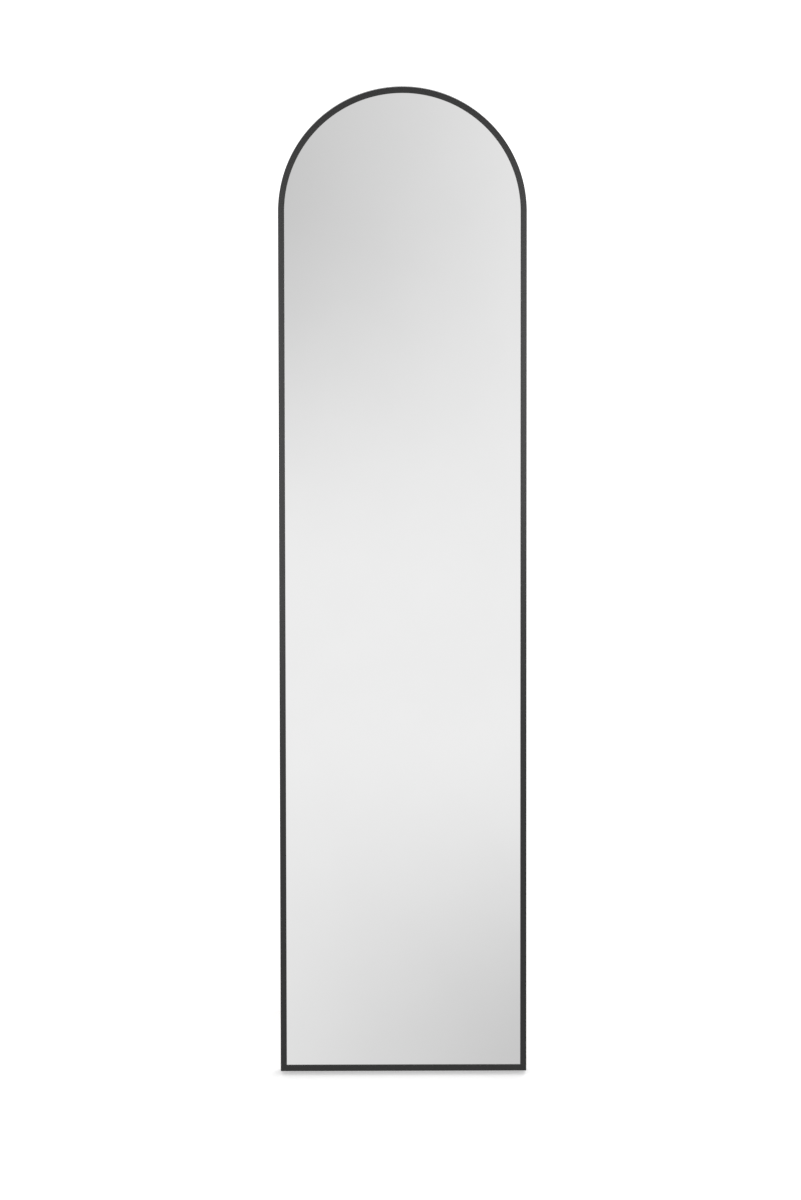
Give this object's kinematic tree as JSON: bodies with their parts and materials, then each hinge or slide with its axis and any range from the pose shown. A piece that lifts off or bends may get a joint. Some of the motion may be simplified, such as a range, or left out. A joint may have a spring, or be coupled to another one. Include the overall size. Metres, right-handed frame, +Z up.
{
  "type": "floor mirror",
  "caption": "Tall arched full-length mirror in a slim black metal frame, with a folding U-shaped stand behind it and keyhole hangers for a wall.",
  "frame": {"origin": "middle of the object's plan at floor level, with the stand open", "axes": "+Z up, +Y from the mirror's face to the stand, +X to the right seen from the front"},
  "size_m": [0.4, 0.354, 1.5737],
  "materials": {
    "black_aluminium": "satin",
    "silvered_glass": "polished",
    "foam_tape": "matte",
    "backing_film": "satin",
    "corrugated_board": "matte",
    "hardboard": "matte",
    "black_rubber": "matte",
    "cast_key": "satin",
    "zinc_steel": "satin",
    "black_steel": "satin",
    "nylon": "satin"
  },
  "bodies": {
    "mirror": {"frame_arch": "black_aluminium", "frame_bottom_rail": "black_aluminium", "mirror_glass": "silvered_glass", "bedding_tape": "foam_tape", "safety_film": "backing_film", "cushion_sheet": "corrugated_board", "back_panel": "hardboard", "setting_blocks": "black_rubber", "corner_key_left": "cast_key", "corner_key_right": "cast_key", "corner_screws": "zinc_steel", "frame_foot_left": "black_rubber", "frame_foot_right": "black_rubber", "wall_bumpers": "black_rubber", "wall_hanger_left": "zinc_steel", "wall_hanger_right": "zinc_steel", "hanger_screws": "zinc_steel", "hinge_bracket_left": "black_steel", "hinge_bracket_right": "black_steel", "hinge_backing_bar_left": "zinc_steel", "hinge_backing_bar_right": "zinc_steel", "bracket_screws": "zinc_steel", "pivot_bolt_left": "zinc_steel", "pivot_bolt_right": "zinc_steel", "pivot_washers": "nylon", "pivot_nut_left": "zinc_steel", "pivot_nut_right": "zinc_steel"},
    "stand": {"stand_tube": "black_steel", "stand_foot_left": "black_rubber", "stand_foot_right": "black_rubber"}
  },
  "joints": [
    {"name": "stand_fold", "type": "hinge", "parent": "mirror", "child": "stand", "pos_m": [0, 0.05861, 1.0308], "axis": [-1, 0, 0], "range_deg": [0, 17]}
  ]
}
